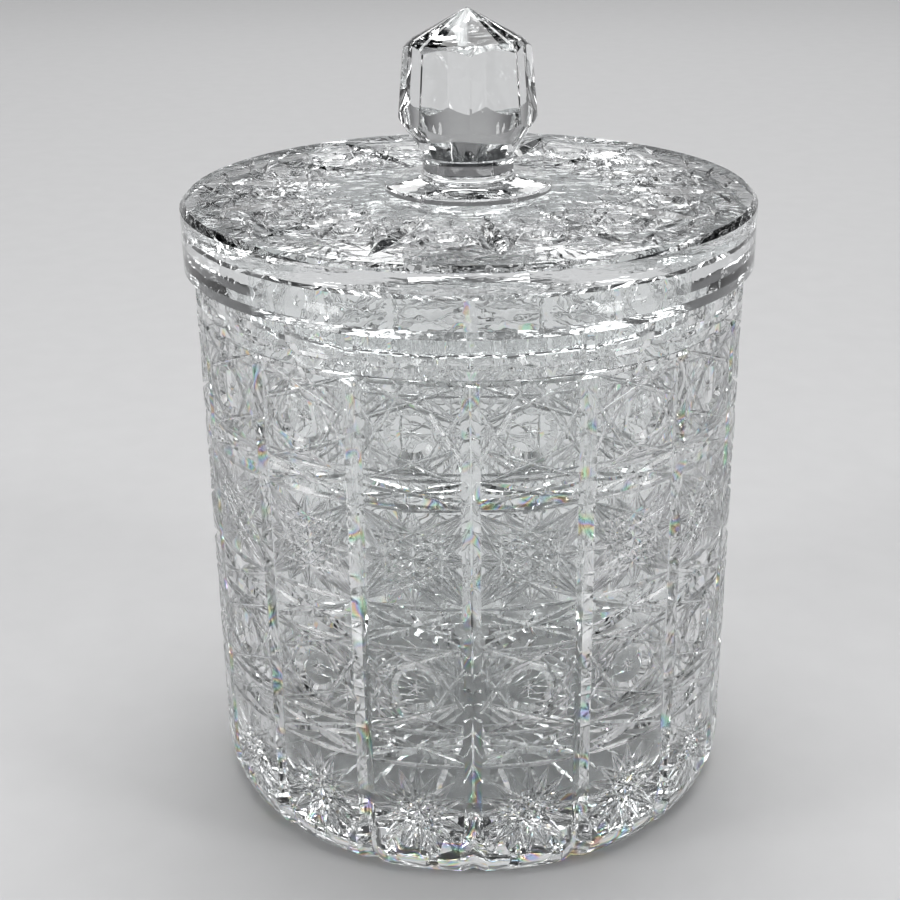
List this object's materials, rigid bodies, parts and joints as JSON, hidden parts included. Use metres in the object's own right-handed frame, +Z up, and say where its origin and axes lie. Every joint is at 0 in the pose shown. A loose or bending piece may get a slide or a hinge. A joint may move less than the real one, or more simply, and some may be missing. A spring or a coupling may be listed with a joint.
{
  "type": "biscuit jar",
  "caption": "Heavy cut-glass biscuit jar with straight panelled wall, thick lift-off lid and faceted pointed knob.",
  "frame": {"origin": "middle of the flat underside that the jar stands on", "axes": "+Z up along the jar's axis towards the knob; -Y is the front, with a mitre between two panels facing it"},
  "size_m": [0.16, 0.16, 0.2256],
  "materials": {
    "jar_crystal": "clear lead crystal, wheel-cut and polished",
    "lid_crystal": "clear lead crystal, wheel-cut and polished",
    "knob_crystal": "clear lead crystal, faceted and polished"
  },
  "bodies": {
    "jar": {"jar": "jar_crystal"},
    "lid": {"lid": "lid_crystal", "knob": "knob_crystal"}
  },
  "joints": [
    {"name": "lid_lift", "type": "slide", "parent": "jar", "child": "lid", "axis": [0, 0, 1], "range_m": [0, 0.1]}
  ]
}
